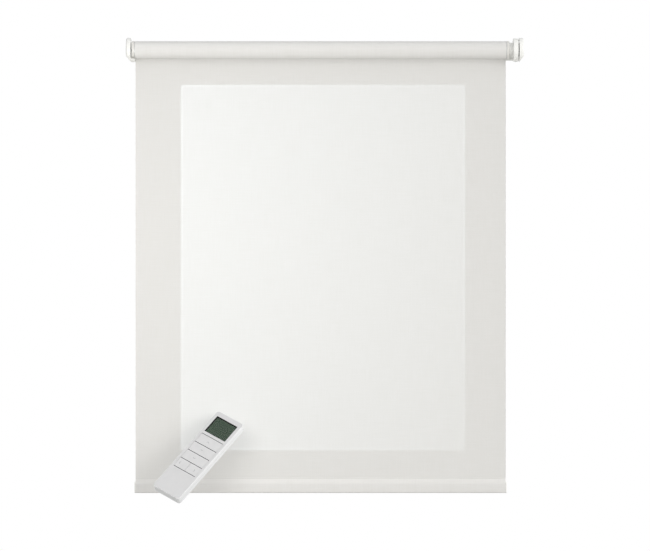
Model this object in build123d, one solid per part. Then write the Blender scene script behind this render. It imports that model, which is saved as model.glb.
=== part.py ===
from build123d import *
import os
from math import cos, hypot, radians, sin, tan

# Motorized roller blind with its remote control, in millimetres.
# X runs along the roller with the motor end at +X, Y points into the wall, Z is up.
# The wall is the plane Y = 0, and the roller axis and the wall screws' centre are at Z = 0.

# Whole blind
overall_width = 600.0       # outer face of one bracket cover to outer face of the other
axis_out = 38.0             # roller axis to wall
drop_length = 670.2         # roller axis down to the underside of the hem

# Fabric
fabric_t = 0.42
fabric_wraps = 2.0          # turns left on the tube when the blind is down
soft_gap = 0.3              # room left between cloth and its neighbours

# Tube
tube_r = 12.5
tube_wall = 0.9
tube_overhang = 0.6         # tube past the fabric at each end
groove_width = 2.0
groove_depth = 2.0
groove_wall = 0.8
spline_gap = 0.1

# Flanges of the idle plug and of the crown ring
flange_r = 13.6
flange_t = 4.0
flange_edge = 0.5
notch_gap = 0.1

# Brackets
plate_t = 2.0
plate_r = 12.5
arm_half = 13.6             # half the height of the bracket's arm at the wall, and of its flange
arm_foot = 8.0              # length of the arm that has its full height
wall_flange_length = 28.0
bend_r = 2.0
corner_r = 3.0
screw_from_end = 18.0       # wall screws, in from the plate's outer face
screw_pitch = 17.0
screw_hole_r = 2.25

# Bracket covers
cover_r = 18.3
cover_wall = 1.5
cover_space = 2.6           # inside the cover, behind the plate
cover_lip = 0.8             # cover rim past the plate's inner face
cover_edge = 2.2
cover_slope = (10.0, 18.0)  # how far below the axis the sloped lower corner starts and ends
cover_slope_wall = 1.2
cradle_length = 6.5         # idle cover's lip under the flange, past the cover's rim
cradle_t = 1.2
cradle_half = 38.0          # degrees each way from straight down
peg_r = 1.45
peg_out = 9.6
peg_shoulder_r = 2.2
peg_gap = 0.05
notch_room = 0.3

# Idle end
idle_gap = 2.3              # flange to bracket
plug_length = 42.0
pin_r = 2.5
pin_gap = 0.07
pin_reach = 1.9             # pin past the outer face of the plate
pin_guide = 8.0
pin_tip = 0.6
collar_r = 4.0
collar_t = 2.0
chamber_r = 4.3
spring_wire = 0.55
spring_r = 3.3
spring_length = 15.0
spring_turns = 8

# Motor head
head_gap = 2.2              # head to bracket
head_t = 7.5
head_r = 17.5
head_edge = 0.9
neck_length = 5.9           # head to crown flange
neck_r = 11.0
neck_gap = 0.4
seat_depth = 2.0            # casing let into the head

# Fixing lug and its clip
lug_base_r = 9.0
lug_base_gap = 0.2
lug_side = 8.0
lug_edge = 0.8
lug_gap = 0.06
groove_start = 0.3
groove_length = 1.2
lug_neck_r = 3.0
lug_end_gap = 0.3
lug_screw_out = 6.6
lug_screw_r = 1.1
lug_screw_head_r = 1.9
lug_screw_length = 5.0
clip_gap = 0.05
clip_half = 5.5
clip_bottom = 3.5
clip_top = 6.0
clip_corner = 1.2

# Things on the underside of the motor head, by angle from straight down towards the wall
socket_angle = 20.0
light_angle = 47.0
button_angle = 66.0
socket_width = 8.9
socket_height = 3.1
socket_depth = 6.5
socket_shell = 0.3
socket_tongue = (6.4, 0.7, 5.0)
socket_floor = 0.8
socket_sunk = 0.2
pocket_gap = 0.05
button_r = 1.8
button_length = 3.1
button_proud = 0.3
button_gap = 0.1
button_room = 0.4           # hole under the button, past its travel
button_travel = 0.5
light_r = 1.0
light_length = 2.5

# Tubular motor, from the head inwards
casing_r = 9.2
casing_wall = 0.8
crown_gap = 0.1
crown_sleeve = 12.0
inner_gap = 0.3             # inner parts to the casing's bore
board_start = 6.0
board_size = (50.0, 15.6, 1.2)
board_parts = ((7.5, 5.0, 3.0), (20.0, 7.0, 1.4), (35.0, 6.0, 4.0))  # place, side and height
cell_gap = 4.0              # board to the first cell
cell_button = (2.6, 1.2)    # radius and height of a cell's positive end
cell_count = 2
motor_gap = 6.0             # last cell to the motor
motor_length = 40.0
gearbox_gap = 4.0           # motor to gearbox
motor_boss = (3.0, 2.0)
gearbox_length = 52.0
casing_length = 262.0
shaft_r = 3.0
shaft_gap = 0.05
shaft_sunk = 8.0
shaft_hex = 5.0             # across flats
drive_gap = 2.0
drive_length = 12.0
drive_hole_r = 2.2
drive_hole_out = 7.6
drive_screw_head = (4.0, 1.6)
drive_screw = (1.25, 6.0)

# Hem
hem_height = 23.4
bar_height = 15.5
bar_t = 4.0
bar_wall = 0.9
bar_edge = 1.6
bar_inset = 0.4             # bar end to fabric edge
cap_t = 1.6
cap_proud = 0.5
cap_plug = 9.0
cap_edge = 0.9

# Remote control: size, where its middle is and how it is turned
remote_length = 160.0
remote_width = 50.0
remote_t = 14.4
remote_at = (-188.5, -84.3, -613.1)
remote_across = (0.7941, -0.4514, -0.4074)
remote_face = (-0.1257, -0.7775, 0.6166)
remote_corner = 5.0
remote_wall = 1.6
remote_split = 0.6          # height where the two shells meet, from the middle
rear_edge = 3.0
front_edge = 0.8
face_t = 1.0
face_inset = 0.9
face_gap = 0.1
deck_t = 1.2                # front shell's deck under the face plate

# Display
window_from_end = 24.3      # its middle, in from the upper end
window_size = (39.0, 31.9)
window_ledge = 1.0
window_t = 1.0
window_gap = 0.05
gasket_lip = 0.35           # wall of the gasket's lip, which lines the face plate's opening
gasket_gap = 0.05
gasket_sunk = 0.1
gasket_over = 0.3           # gasket between the face plate and the window
gasket_under = 0.5          # gasket between the window and the display
gasket_web = 0.3            # gasket round the window's edge
display_t = 1.4
display_frame = 0.8         # display past the face plate's opening all round
board_t = 1.2

# Keys
keys_below_window = 5.15    # window to the keypad's top line
key_pitch = 17.3
key_width = 40.3
key_line = 0.8              # the dark lines between keys
key_side = 0.25
key_split = 0.4             # between the two half keys
key_t = 1.6
key_travel = 0.5
key_corner = 0.3
pad_gap = 0.1
mat_t = 1.2
dome_r = 3.0
dome_t = 0.6
dome_room = 0.4

# Cell and its door
cell_at = -24.0
coin_r = 12.25
coin_t = 3.0
coin_gap = 0.3
holder_wall = 1.8
rear_t = 1.4
door_size = (30.0, 36.0)
door_gap = 0.2
door_corner = 3.0
contact_r = 1.6
contact_at = 5.0
strip_size = (14.0, 3.0, 0.3)
coin_rim = (1.2, 0.45)      # the coin cell's rim: how far in and how high its base stands
door_ribs = 3
door_rib = (12.0, 1.0, 0.4) # length, width and depth of a finger groove in the door
door_rib_pitch = 2.5
door_rib_edge = 6.0

# Screws and the pairing button of the remote control
post_in = 4.8               # in from the sides and the ends
post_r = 2.5
rim_r = 3.2
rim_t = 1.0                 # rear shell under each screw head
pilot_r = 0.95
rear_screw_head = (1.9, 1.3)
rear_screw_sunk = 0.5
rear_screw_length = 9.0
screw_slot = (0.5, 0.5)
pair_at = (12.0, 30.0)
pair_r = 1.4
pair_foot = (2.2, 0.8)       # radius and thickness of the button's foot inside the shell
pair_switch = 3.0
pair_gap = 0.1
pair_sunk = 0.2
pair_travel = 0.4

# Places that follow from the sizes above
axis_y = -axis_out
roll_r = tube_r + fabric_wraps * fabric_t
tube_bore = tube_r - tube_wall
plate_in = overall_width / 2 - plate_t - cover_space - cover_wall
plate_out = plate_in + plate_t
idle_face = -plate_in + idle_gap
tube_left = idle_face + flange_t
head_out = plate_in - head_gap
head_in = head_out - head_t
crown_face = head_in - neck_length
tube_right = crown_face - flange_t
fabric_left = tube_left + tube_overhang
fabric_right = tube_right - tube_overhang
drop_y = axis_y + roll_r + soft_gap + fabric_t / 2
hem_top = -(drop_length - hem_height)
pocket_t = bar_t + 2 * (soft_gap + fabric_t)
bar_z = -drop_length + fabric_t + soft_gap + bar_height / 2
casing_right = head_in + seat_depth
casing_left = casing_right - casing_length
motor_start = casing_length - gearbox_length - gearbox_gap - motor_length
cell_start = board_start + board_size[0] + cell_gap
cell_length = (motor_start - motor_gap - cell_start) / cell_count
inner_r = casing_r - casing_wall - inner_gap
drive_right = casing_left - drive_gap
drive_left = drive_right - drive_length
screw_x = plate_out - screw_from_end
face_z = remote_t / 2
window_at = remote_length / 2 - window_from_end
key_top = window_at - window_size[1] / 2 - keys_below_window
deck_z = face_z - face_t - deck_t
window_top = face_z - face_t - gasket_over
display_top = window_top - window_t - gasket_under
board_z = display_top - display_t


def cyl(r, x0, x1, y=axis_y, z=0.0):
    """A cylinder along X, on the roller axis unless told otherwise."""
    return Pos((x0 + x1) / 2, y, z) * Rot(0, 90, 0) * Cylinder(r, abs(x1 - x0))


def block(x0, x1, y0, y1, z0, z1):
    """A box between two corners."""
    middle = Pos((x0 + x1) / 2, (y0 + y1) / 2, (z0 + z1) / 2)
    return middle * Box(abs(x1 - x0), abs(y1 - y0), abs(z1 - z0))


def along_x(sketch, x0, x1):
    """A sketch whose first axis is Y and second is Z, drawn out from x0 to x1."""
    plane = Plane(origin=(min(x0, x1), 0, 0), x_dir=(0, 1, 0), z_dir=(1, 0, 0))
    return extrude(plane * sketch, amount=abs(x1 - x0))


def slab(width, length, z0, z1, corner=0.0, x=0.0, y=0.0):
    """A flat plate with rounded corners, in the remote control's own frame."""
    if corner > 0:
        outline = RectangleRounded(width, length, corner)
    else:
        outline = Rectangle(width, length)
    return Pos(x, y, z0) * extrude(outline, amount=z1 - z0)


def rod(r, z0, z1, x=0.0, y=0.0):
    """A cylinder along Z."""
    return Pos(x, y, (z0 + z1) / 2) * Cylinder(r, z1 - z0)


def groove_block(gap=0.0):
    """The outline of the tube's inward channel, at its top, with room round it."""
    depth = groove_depth + groove_wall + gap
    width = groove_width + 2 * (groove_wall + gap)
    return Pos(axis_y, tube_r - depth / 2) * Rectangle(width, depth)


# Brackets

def upright_edge(body, x, y):
    """The vertical edge of a body at one place."""
    edges = body.edges().filter_by(Axis.Z)
    return edges.sort_by(lambda e: abs(e.center().X - x) + abs(e.center().Y - y))[0]


def bracket(side):
    """Pressed steel: a side plate round the axis, an arm, and a flange against the wall."""
    inner, outer = side * plate_in, side * plate_out
    arm = Polyline((axis_y, plate_r), (-arm_foot, arm_half), (0, arm_half),
                   (0, -arm_half), (-arm_foot, -arm_half), (axis_y, -plate_r), close=True)
    plate = along_x(Pos(axis_y, 0) * Circle(plate_r) + make_face(arm), inner, outer)
    end = outer - side * wall_flange_length
    flange = block(end, outer, -plate_t, 0, -arm_half, arm_half)
    free_end = 0 if side > 0 else -1
    flange = fillet(flange.edges().filter_by(Axis.Y).group_by(Axis.X)[free_end], corner_r)
    body = plate + flange
    body = fillet(upright_edge(body, inner, -plate_t), bend_r)
    body = fillet(upright_edge(body, outer, 0), bend_r + plate_t / 2)
    for z in (-screw_pitch / 2, screw_pitch / 2):
        body -= Pos(side * screw_x, -plate_t / 2, z) * Rot(90, 0, 0) * Cylinder(screw_hole_r, 2 * plate_t)
    for y in (-peg_out, peg_out):
        body -= cyl(peg_r + peg_gap, inner - side, outer + side, axis_y + y)
    return body


def idle_bracket():
    return bracket(-1) - cyl(pin_r + pin_gap, -plate_in + 1, -plate_out - 1)


def motor_bracket():
    opening = along_x(Pos(axis_y, 0) * RectangleRounded(
        lug_side + 2 * lug_gap, lug_side + 2 * lug_gap, lug_edge), plate_in - 1, plate_out + 1)
    return bracket(1) - opening


def bracket_cover(side):
    """A cup over the plate, with a sloped lower corner, a notch for the arm and two pegs."""
    rim, floor = side * (plate_in - cover_lip), side * (plate_out + cover_space)
    outer = side * overall_width / 2
    cup = cyl(cover_r, rim, outer)
    cup = fillet(cup.faces().sort_by(Axis.X)[-1 if side > 0 else 0].edges(), cover_edge)
    start, end = cover_slope
    lift = cover_slope_wall * hypot(abs(outer - rim), end - start) / abs(outer - rim)
    slope = Polyline((outer, -start), (rim, -end), (rim, -2 * cover_r), (outer + side, -2 * cover_r),
                     (outer + side, -start), close=True)
    cutter = extrude(Plane.XZ.offset(axis_out - cover_r) * make_face(slope), amount=2 * cover_r)
    hollow_r = cover_r - cover_wall
    hollow = cyl(hollow_r, rim - side, floor)
    cup = cup - cutter - (hollow - Pos(0, 0, lift) * cutter)
    arm = block(rim - side, side * (plate_out + notch_room), axis_y + peg_out / 2, 0,
                -arm_half - notch_room, arm_half + notch_room)
    cup -= arm
    for y in (-peg_out, peg_out):
        cup += cyl(peg_shoulder_r, side * plate_out, floor, axis_y + y)
        cup += cyl(peg_r, side * plate_in, floor, axis_y + y)
    return cup


# Roller

def roller_tube():
    """A tube with an inward channel along its top for the fabric's spline."""
    disc = Pos(axis_y, 0) * Circle(tube_r)
    ring = disc - Pos(axis_y, 0) * Circle(tube_bore)
    ring += groove_block() & disc
    slot = Pos(axis_y, tube_r - groove_depth / 2 + tube_wall / 2) * Rectangle(
        groove_width, groove_depth + tube_wall)
    return along_x(ring - slot, tube_left, tube_right)


def fabric_spline():
    height = groove_depth - fabric_t
    strip = Rectangle(groove_width - 2 * spline_gap, height)
    middle = tube_r - groove_depth + height / 2
    return along_x(Pos(axis_y, middle) * strip, fabric_left, fabric_right)


def fabric_roll():
    ring = Pos(axis_y, 0) * (Circle(roll_r) - Circle(tube_r))
    return along_x(ring, fabric_left, fabric_right)


def in_tube(r, x0, x1):
    """A round plug in the tube's bore, notched for the channel."""
    return cyl(r, x0, x1) - along_x(groove_block(notch_gap), x0 - 1, x1 + 1)


def end_flange(x0, x1):
    disc = cyl(flange_r, x0, x1)
    return fillet(disc.edges(), flange_edge)


def idle_plug():
    plug = end_flange(idle_face, tube_left)
    plug += in_tube(tube_bore, tube_left, tube_left + plug_length)
    plug -= cyl(pin_r + pin_gap, idle_face - 1, idle_face + pin_guide + 1)
    chamber_end = idle_face + pin_guide + collar_t + spring_length
    plug -= cyl(chamber_r, idle_face + pin_guide, chamber_end)
    return plug


def idle_pin():
    """A sprung pin: its collar bears on the guide's inner end."""
    tip = -plate_out - pin_reach
    pin = cyl(pin_r, tip, idle_face + pin_guide + collar_t)
    pin = chamfer(pin.faces().sort_by(Axis.X)[0].edges(), pin_tip)
    return pin + cyl(collar_r, idle_face + pin_guide, idle_face + pin_guide + collar_t)


def idle_spring():
    """A coil spring between the pin's collar and the end of the plug's chamber."""
    pitch = (spring_length - spring_wire) / spring_turns
    start = idle_face + pin_guide + collar_t + spring_wire / 2
    path = Helix(pitch, pitch * spring_turns, spring_r)
    wire = sweep(Plane(path @ 0, z_dir=path % 0) * Circle(spring_wire / 2), path=path, is_frenet=True)
    return Pos(start, axis_y, 0) * Rot(0, 90, 0) * wire


def crown_ring():
    """The bearing ring that the tube turns on, round the motor casing."""
    ring = end_flange(tube_right, crown_face)
    ring += in_tube(tube_bore, tube_right - crown_sleeve, tube_right)
    return ring - cyl(casing_r + crown_gap, tube_right - crown_sleeve - 1, crown_face + 1)


def hexagon(across, x0, x1):
    outline = Pos(axis_y, 0) * RegularPolygon(across / 2, 6, major_radius=False)
    return along_x(outline, x0, x1)


def output_shaft():
    shaft = cyl(shaft_r, drive_right, casing_left + shaft_sunk)
    shaft += hexagon(shaft_hex, drive_left + 1, drive_right)
    r, length = drive_screw
    return shaft - cyl(r, drive_left, drive_left + 1 + length)


def drive_wheel():
    wheel = in_tube(tube_bore, drive_left, drive_right)
    out = drive_hole_out
    for y, z in ((-out, 0), (out, 0), (0, -out)):
        wheel -= cyl(drive_hole_r, drive_left - 1, drive_right + 1, axis_y + y, z)
    return wheel - hexagon(shaft_hex, drive_left - 1, drive_right + 1)


def drive_wheel_screw():
    washer_r, washer_t = drive_screw_head
    r, length = drive_screw
    head = cyl(washer_r, drive_left - washer_t, drive_left)
    return head + cyl(r, drive_left, drive_left + 1 + length)


# Tubular motor

def idle_bracket_cover():
    """The idle end's cover, with a curved lip that reaches in under the flange."""
    rim = plate_in - cover_lip
    lip = cyl(cover_r, -rim, cradle_length - rim) - cyl(cover_r - cradle_t, -rim - 1, cradle_length - rim + 1)
    reach = 2 * cover_r
    side = reach * tan(radians(cradle_half))
    wedge = Polyline((axis_y, 0), (axis_y - side, -reach), (axis_y + side, -reach), close=True)
    lip &= along_x(make_face(wedge), -rim, cradle_length - rim)
    return bracket_cover(-1) + lip


def under_head(angle):
    """A frame on the roller axis whose Z points out through the head's rim."""
    out = (0, sin(radians(angle)), -cos(radians(angle)))
    return Plane(origin=((head_in + head_out) / 2, axis_y, 0), x_dir=(1, 0, 0), z_dir=out)


def socket_slot(grow, deep, top):
    """A rounded slot sunk from the rim: long way round the rim, short way along X."""
    outline = Rot(0, 0, 90) * SlotOverall(socket_width + 2 * grow, socket_height + 2 * grow)
    return under_head(socket_angle).location * Pos(0, 0, top - deep) * extrude(outline, amount=deep)


def motor_head():
    head = fillet(cyl(head_r, head_in, head_out).edges(), head_edge)
    head += cyl(neck_r, crown_face + neck_gap, head_in + head_edge)
    head -= cyl(casing_r, crown_face - 1, casing_right)
    top = head_r - socket_sunk
    head -= socket_slot(pocket_gap, socket_depth + pocket_gap + 2 * socket_sunk, top + 2 * socket_sunk)
    button_hole = button_length - button_proud + button_travel + button_room
    head -= under_head(button_angle).location * rod(button_r + button_gap, head_r - button_hole, head_r + 1)
    head -= under_head(light_angle).location * rod(light_r, head_r - light_length, head_r + 1)
    for z in (-lug_screw_out, lug_screw_out):
        head -= cyl(lug_screw_r, head_out - lug_screw_length, head_out + 1, axis_y, z)
    return head


def charge_socket():
    top = head_r - socket_sunk
    shell = socket_slot(0, socket_depth, top)
    shell -= socket_slot(-socket_shell, socket_depth - socket_floor, top)
    width, height, length = socket_tongue
    frame = under_head(socket_angle).location
    return shell + frame * block(-height / 2, height / 2, -width / 2, width / 2,
                                 top - socket_depth, top - socket_depth + length)


def set_button():
    cap = rod(button_r, head_r + button_proud - button_length, head_r + button_proud)
    cap = fillet(cap.faces().sort_by(Axis.Z)[-1].edges(), button_proud / 2)
    return under_head(button_angle).location * cap


def status_light():
    lens = rod(light_r, head_r - light_length, head_r)
    return under_head(light_angle).location * lens


def motor_fixing_lug():
    """A base on the head, a square that fills the plate's opening, and a neck for the clip."""
    base_end = plate_in - lug_base_gap
    groove_in = plate_out + groove_start
    groove_out = groove_in + groove_length
    end = plate_out + cover_space - lug_end_gap
    square = Pos(axis_y, 0) * RectangleRounded(lug_side, lug_side, lug_edge)
    lug = cyl(lug_base_r, head_out, base_end)
    lug += along_x(square, base_end - 1, groove_in)
    lug += cyl(lug_neck_r, groove_in, groove_out)
    lug += along_x(square, groove_out, end)
    for z in (-lug_screw_out, lug_screw_out):
        lug -= cyl(lug_screw_r, head_out - 1, base_end + 1, axis_y, z)
        lug -= cyl(lug_screw_head_r, head_out + 1, base_end + 1, axis_y, z)
    return lug


def motor_lug_screws():
    screws = []
    for z in (-lug_screw_out, lug_screw_out):
        shank = cyl(lug_screw_r, head_out - lug_screw_length, head_out + 1, axis_y, z)
        screws.append(shank + cyl(lug_screw_head_r, head_out + 1, plate_in - lug_base_gap, axis_y, z))
    return Compound(children=screws)


def motor_lock_clip():
    """A forked plate that drops over the lug's neck, open at the bottom."""
    x0 = plate_out + groove_start + clip_gap
    x1 = x0 + groove_length - 2 * clip_gap
    height = clip_top + clip_bottom
    middle = (clip_top - clip_bottom) / 2
    outline = Pos(axis_y, middle) * RectangleRounded(2 * clip_half, height, clip_corner)
    slot_r = lug_neck_r + clip_gap
    outline -= Pos(axis_y, 0) * Circle(slot_r)
    outline -= Pos(axis_y, -clip_bottom) * Rectangle(2 * slot_r, 2 * clip_bottom)
    return along_x(outline, x0, x1)


def motor_casing():
    casing = cyl(casing_r, casing_left, casing_right)
    return casing - cyl(casing_r - casing_wall, casing_left - 1, casing_right + 1)


def control_board():
    """The receiver's board on edge rails, with a few of its parts."""
    length, width, thick = board_size
    right = casing_right - board_start
    board = block(right - length, right, axis_y - width / 2, axis_y + width / 2, -thick / 2, thick / 2)
    for in_from_end, size, height in board_parts:
        x = right - in_from_end
        half = size / 2
        board += block(x - half, x + half, axis_y - half, axis_y + half, 0, thick / 2 + height)
    return board


def battery_cells():
    cells = []
    r, height = cell_button
    for i in range(cell_count):
        right = casing_right - cell_start - i * cell_length
        body = cyl(inner_r, right - cell_length, right - height)
        cells.append(body + cyl(r, right - height, right))
    return Compound(children=cells)


def drive_motor():
    right = casing_right - motor_start
    r, height = motor_boss
    return cyl(inner_r, right - motor_length + height, right) + cyl(r, right - motor_length, right)


def gearbox():
    left = casing_left
    box = cyl(casing_r - casing_wall, left, left + gearbox_length)
    return box - cyl(shaft_r + shaft_gap, left - 1, left + shaft_sunk + shaft_gap)


# Fabric drop and hem

def fabric_drop():
    return block(fabric_left, fabric_right, drop_y - fabric_t / 2, drop_y + fabric_t / 2,
                 hem_top + soft_gap, 0)


def hem_pocket():
    """A sleeve of folded fabric round the bar, closed above by its weld."""
    sleeve = Pos(drop_y, bar_z) * RectangleRounded(
        pocket_t, bar_height + 2 * (soft_gap + fabric_t), bar_edge + soft_gap + fabric_t)
    weld_foot = bar_z + bar_height / 2
    sleeve += Pos(drop_y, (hem_top + weld_foot) / 2) * Rectangle(2 * fabric_t, hem_top - weld_foot)
    void = Pos(drop_y, bar_z) * RectangleRounded(
        bar_t + 2 * soft_gap, bar_height + 2 * soft_gap, bar_edge + soft_gap)
    return along_x(sleeve - void, fabric_left, fabric_right)


def bar_outline(inset):
    return Pos(drop_y, bar_z) * RectangleRounded(
        bar_t - 2 * inset, bar_height - 2 * inset, bar_edge - inset)


def hem_bar():
    return along_x(bar_outline(0) - bar_outline(bar_wall), fabric_left + bar_inset, fabric_right - bar_inset)


def hem_cap(side):
    """A plate over the hem's end with a plug in the bar's bore."""
    edge = fabric_right if side > 0 else fabric_left
    plate = Pos(drop_y, bar_z) * RectangleRounded(
        pocket_t + 2 * cap_proud, bar_height + 2 * (soft_gap + fabric_t), bar_edge + soft_gap + fabric_t)
    cap = along_x(plate, edge, edge + side * cap_t)
    cap = fillet(cap.faces().sort_by(Axis.X)[-1 if side > 0 else 0].edges(), cap_edge)
    return cap + along_x(bar_outline(bar_wall), edge - side * cap_plug, edge)


# Remote control, in its own frame: X across, Y towards the display's end, Z out of the face

def remote_frame():
    return Plane(origin=remote_at, x_dir=remote_across, z_dir=remote_face).location


def post_places():
    x, y = remote_width / 2 - post_in, remote_length / 2 - post_in
    return [(sx * x, sy * y) for sx in (-1, 1) for sy in (-1, 1)]


def keypad_middle():
    return key_top - 2 * key_pitch


def key_window(grow):
    """Room for all the keys: width, length and middle of the opening."""
    return key_width + 2 * (key_side + grow), 4 * key_pitch + key_line + 2 * grow


def remote_rear_shell():
    low = -face_z
    shell = slab(remote_width, remote_length, low, remote_split, remote_corner)
    shell = fillet(shell.faces().sort_by(Axis.Z)[0].edges(), rear_edge)
    inner = slab(remote_width - 2 * remote_wall, remote_length - 2 * remote_wall, low + rear_t,
                 remote_split + 1, remote_corner - remote_wall)
    inner = fillet(inner.faces().sort_by(Axis.Z)[0].edges(), rear_edge - rear_t)
    shell -= inner
    sink_r, sink_t = rear_screw_head
    seat = low + rear_screw_sunk + sink_t
    for x, y in post_places():
        shell += rod(rim_r, low + rear_t / 2, seat + rim_t, x, y)
        shell -= rod(sink_r, low - 1, seat, x, y)
        shell -= rod(pilot_r + pair_gap, low, seat + rim_t + 1, x, y)
    width, length = door_size
    shell -= slab(width, length, low - 1, low + rear_t + 1, door_corner, 0, cell_at)
    px, py = pair_at
    shell -= rod(pair_r + pair_gap, low - 1, low + rear_t + 1, px, py)
    return shell


def remote_front_shell():
    top = face_z - face_t
    outer = slab(remote_width, remote_length, remote_split, face_z, remote_corner)
    outer = fillet(outer.faces().sort_by(Axis.Z)[-1].edges(), front_edge)
    outer -= slab(remote_width - 2 * face_inset, remote_length - 2 * face_inset, top, face_z + 1,
                  remote_corner - face_inset)
    shell = outer - slab(remote_width - 2 * remote_wall, remote_length - 2 * remote_wall,
                         remote_split - 1, deck_z, remote_corner - remote_wall)
    shell -= window_slab(window_ledge, deck_z - 1, top + 1)
    width, length = key_window(0)
    shell -= slab(width, length, deck_z - 1, top + 1, 0, 0, keypad_middle())
    low = -face_z + rear_screw_sunk + rear_screw_head[1] + rim_t
    for x, y in post_places():
        shell += rod(post_r, low, deck_z, x, y)
        shell -= rod(pilot_r, low - 1, low + rear_screw_length, x, y)
    return shell


def remote_face_plate():
    inset = 2 * (face_inset + face_gap)
    plate = slab(remote_width - inset, remote_length - inset, face_z - face_t, face_z,
                 remote_corner - face_inset - face_gap)
    plate -= window_slab(0, 0, face_z + 1)
    width, length = key_window(0)
    return plate - slab(width, length, 0, face_z + 1, 0, 0, keypad_middle())


def window_slab(grow, low, high):
    """A slab with the face plate's display opening as its outline, grown on every side."""
    width, length = window_size
    return slab(width + 2 * grow, length + 2 * grow, low, high, 0, 0, window_at)


def window_room():
    """How far the slot for the window reaches past the face plate's opening."""
    return window_ledge - gasket_gap - gasket_web


def remote_window():
    return window_slab(window_room() - window_gap, window_top - window_t, window_top)


def remote_window_gasket():
    """A rubber channel round the window, with a lip that lines the face plate's opening."""
    gasket = window_slab(window_ledge - gasket_gap, display_top, face_z - face_t)
    gasket += window_slab(-gasket_gap, window_top, face_z - gasket_sunk)
    gasket -= window_slab(-gasket_gap - gasket_lip, display_top - 1, face_z + 1)
    return gasket - window_slab(window_room(), window_top - window_t, window_top)


def remote_display():
    return window_slab(display_frame, board_z, display_top)


def remote_circuit_board():
    """The board between the four posts, with the pairing button's switch under it."""
    width = remote_width - 2 * (remote_wall + inner_gap)
    length = remote_length - 2 * (remote_wall + inner_gap)
    board = slab(width, length, board_z - board_t, board_z, remote_corner - remote_wall)
    for x, y in post_places():
        board -= rod(post_r + pad_gap, board_z - board_t - 1, board_z + 1, x, y)
    x, y = pair_at
    switch_low = pair_foot_top() + pair_travel + pair_gap
    return board + slab(pair_switch, pair_switch, switch_low, board_z - board_t, 0, x, y)


def key_cells():
    """Each key's name with its middle and its size."""
    tall = key_pitch - key_line
    row = [key_top - (i + 0.5) * key_pitch for i in range(4)]
    half = (key_width - key_split) / 2
    shift = (half + key_split) / 2
    return [
        ("key_up", 0, row[0], key_width, tall),
        ("key_stop", 0, row[1], key_width, tall),
        ("key_down", 0, row[2], key_width, tall),
        ("key_previous", -shift, row[3], half, tall),
        ("key_next", shift, row[3], half, tall),
    ]


def switch_places():
    return [(x, y) for _, x, y, _, _ in key_cells()]


def remote_key(x, y, width, tall):
    cap = slab(width, tall, face_z - key_t, face_z, key_corner, x, y)
    return fillet(cap.faces().sort_by(Axis.Z)[-1].edges(), key_corner / 2)


def remote_keypad():
    """The rubber mat over the switches, with a pad under each key."""
    width, length = key_window(-pad_gap)
    mat = slab(width, length, board_z, board_z + mat_t, 0, 0, keypad_middle())
    pad_top = face_z - key_t - key_travel - pad_gap
    for x, y in switch_places():
        mat += slab(2 * dome_r, 2 * dome_r, board_z + mat_t, pad_top, 0, x, y)
        mat -= rod(dome_r + dome_room, board_z - 1, board_z + dome_t + pad_gap, x, y)
    return mat


def remote_switches():
    domes = [rod(dome_r, board_z, board_z + dome_t, x, y) for x, y in switch_places()]
    return Compound(children=domes)


def coin_low():
    return -face_z + rear_t + coin_gap


def remote_coin_cell():
    low = coin_low()
    inset, height = coin_rim
    can = rod(coin_r, low + height, low + coin_t, 0, cell_at)
    return can + rod(coin_r - inset, low, low + coin_t, 0, cell_at)


def remote_cell_holder():
    """A ring under the board round the coin cell."""
    low = coin_low()
    outer = coin_r + coin_gap + holder_wall
    ring = rod(outer, low, board_z - board_t, 0, cell_at)
    return ring - rod(coin_r + coin_gap, low - 1, board_z - board_t + 1, 0, cell_at)


def remote_contacts():
    """A strip that bears on the cell, on a post under the board."""
    cell_top = coin_low() + coin_t
    length, width, thick = strip_size
    strip = slab(length, width, cell_top, cell_top + thick, 0, 0, cell_at)
    return strip + rod(contact_r, cell_top, board_z - board_t, contact_at, cell_at)


def remote_cell_door():
    width, length = door_size
    low = -face_z
    door = slab(width - 2 * door_gap, length - 2 * door_gap, low, low + rear_t,
                door_corner - door_gap, 0, cell_at)
    rib_length, rib_width, rib_depth = door_rib
    for i in range(door_ribs):
        y = cell_at - length / 2 + door_rib_edge + door_rib_pitch * i
        door -= slab(rib_length, rib_width, low - 1, low + rib_depth, 0, 0, y)
    return door


def remote_screws():
    sink_r, sink_t = rear_screw_head
    low = -face_z + rear_screw_sunk
    width, depth = screw_slot
    screws = []
    for x, y in post_places():
        screw = rod(sink_r, low, low + sink_t, x, y)
        screw += rod(pilot_r, low + sink_t, low + rear_screw_length, x, y)
        screws.append(screw - slab(3.0, width, low - 1, low + depth, 0, x, y))
    return Compound(children=screws)


def pair_foot_top():
    return -face_z + rear_t + pair_foot[1]


def pairing_button():
    """A pin through the rear wall with a foot that keeps it in."""
    x, y = pair_at
    wall_in = -face_z + rear_t
    button = rod(pair_r, -face_z + pair_sunk, wall_in, x, y)
    return button + rod(pair_foot[0], wall_in, pair_foot_top(), x, y)


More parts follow.
